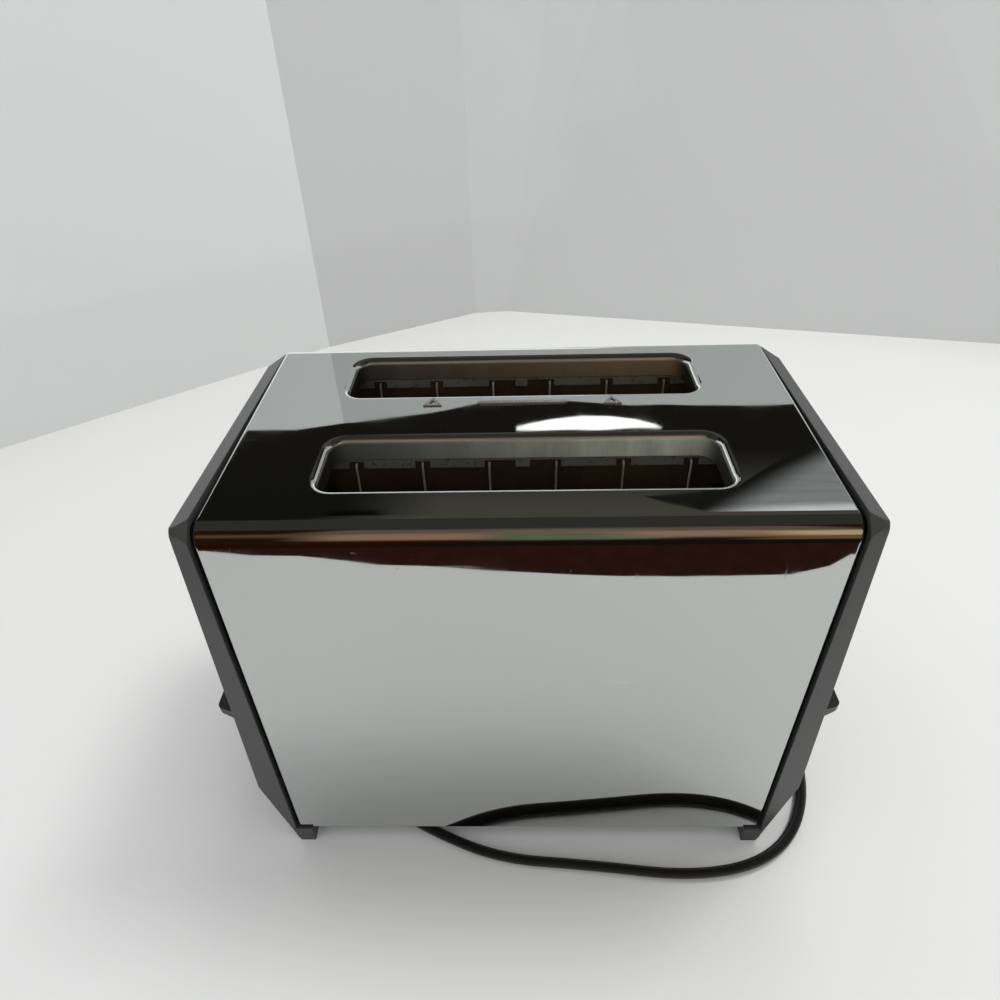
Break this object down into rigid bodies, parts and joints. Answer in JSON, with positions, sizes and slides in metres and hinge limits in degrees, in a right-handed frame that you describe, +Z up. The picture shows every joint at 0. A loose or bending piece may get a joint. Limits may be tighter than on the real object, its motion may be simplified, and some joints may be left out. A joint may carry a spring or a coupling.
{
  "type": "pop-up toaster",
  "caption": "Low chrome pop-up toaster with long bread slots, black moulded end panels with finger ledges, side lever, browning knob and trailing cord.",
  "frame": {"origin": "under the middle of the toaster, on the surface that its feet stand on", "axes": "+X towards the lever end, +Y towards the back, +Z up"},
  "size_m": [0.2652, 0.2433, 0.1843],
  "materials": {
    "chrome": "mirror polished",
    "black_moulding": "satin black moulded resin",
    "screw_steel": "zinc plated",
    "plated_steel": "plated sheet, heat-dulled inside",
    "spring_steel": "drawn wire",
    "mica": "brown mica sheet",
    "ribbon_alloy": "oxidised resistance ribbon",
    "brown_moulding": "phenolic moulding",
    "brass": "plated brass",
    "cord_cover": "black flexible cord",
    "plug_moulding": "black moulded plug"
  },
  "bodies": {
    "frame": {"chrome_shell": "chrome", "left_end_panel": "black_moulding", "right_end_panel": "black_moulding", "left_finger_ledge": "black_moulding", "right_finger_ledge": "black_moulding", "end_panel_screws": "screw_steel", "base_plate": "plated_steel", "crumb_door_pin": "screw_steel", "right_end_plate": "plated_steel", "left_end_plate": "plated_steel", "front_baffle": "plated_steel", "rear_baffle": "plated_steel", "guide_rod": "screw_steel", "rod_bracket": "plated_steel", "lift_spring": "spring_steel", "control_bracket": "plated_steel", "bimetal_strip": "spring_steel", "thermostat_foot": "plated_steel", "latch_pin": "screw_steel", "switch_block": "brown_moulding", "switch_contacts": "brass", "terminal_block": "brown_moulding", "terminal_screws": "brass", "supply_leads": "cord_cover", "bus_strips": "spring_steel", "strain_relief": "black_moulding", "supply_cord": "cord_cover", "plug_body": "plug_moulding", "plug_blades": "brass", "front_outer_heating_card": "mica", "front_outer_heating_ribbon": "ribbon_alloy", "front_outer_card_strip": "plated_steel", "front_outer_guard_wires": "spring_steel", "front_inner_heating_card": "mica", "front_inner_heating_ribbon": "ribbon_alloy", "front_inner_card_strip": "plated_steel", "front_inner_guard_wires": "spring_steel", "rear_inner_heating_card": "mica", "rear_inner_heating_ribbon": "ribbon_alloy", "rear_inner_card_strip": "plated_steel", "rear_inner_guard_wires": "spring_steel", "rear_outer_heating_card": "mica", "rear_outer_heating_ribbon": "ribbon_alloy", "rear_outer_card_strip": "plated_steel", "rear_outer_guard_wires": "spring_steel", "guard_rails": "plated_steel", "supply_cord_coil": "cord_cover", "supply_cord_tail": "cord_cover"},
    "carriage": {"carriage_slide": "plated_steel", "front_bread_rack": "plated_steel", "rear_bread_rack": "plated_steel", "left_rack_link": "plated_steel", "lever_knob": "black_moulding", "contact_bridge": "brown_moulding"},
    "browning_control": {"browning_shaft": "screw_steel", "browning_knob": "black_moulding"},
    "crumb_door": {"crumb_door": "plated_steel", "crumb_door_stud": "plated_steel"},
    "latch": {"latch_lever": "plated_steel"}
  },
  "joints": [
    {"name": "carriage_lift", "type": "slide", "parent": "frame", "child": "carriage", "axis": [0, 0, 1], "range_m": [-0.062, 0], "stiffness_N_per_m": 60, "springref_m": 0.03, "deforming": ["lift_spring"]},
    {"name": "browning_turn", "type": "hinge", "parent": "frame", "child": "browning_control", "pos_m": [0.1, -0.024, 0.05], "axis": [1, 0, 0], "range_deg": [-135, 135]},
    {"name": "crumb_door_swing", "type": "hinge", "parent": "frame", "child": "crumb_door", "pos_m": [0, 0.0495, 0.0088], "axis": [1, 0, 0], "range_deg": [0, 85]},
    {"name": "latch_swing", "type": "hinge", "parent": "frame", "child": "latch", "pos_m": [0.087, 0.026, 0.024], "axis": [1, 0, 0], "range_deg": [0, 6], "stiffness_Nm_per_rad": 0.01, "springref_deg": -5.73}
  ]
}
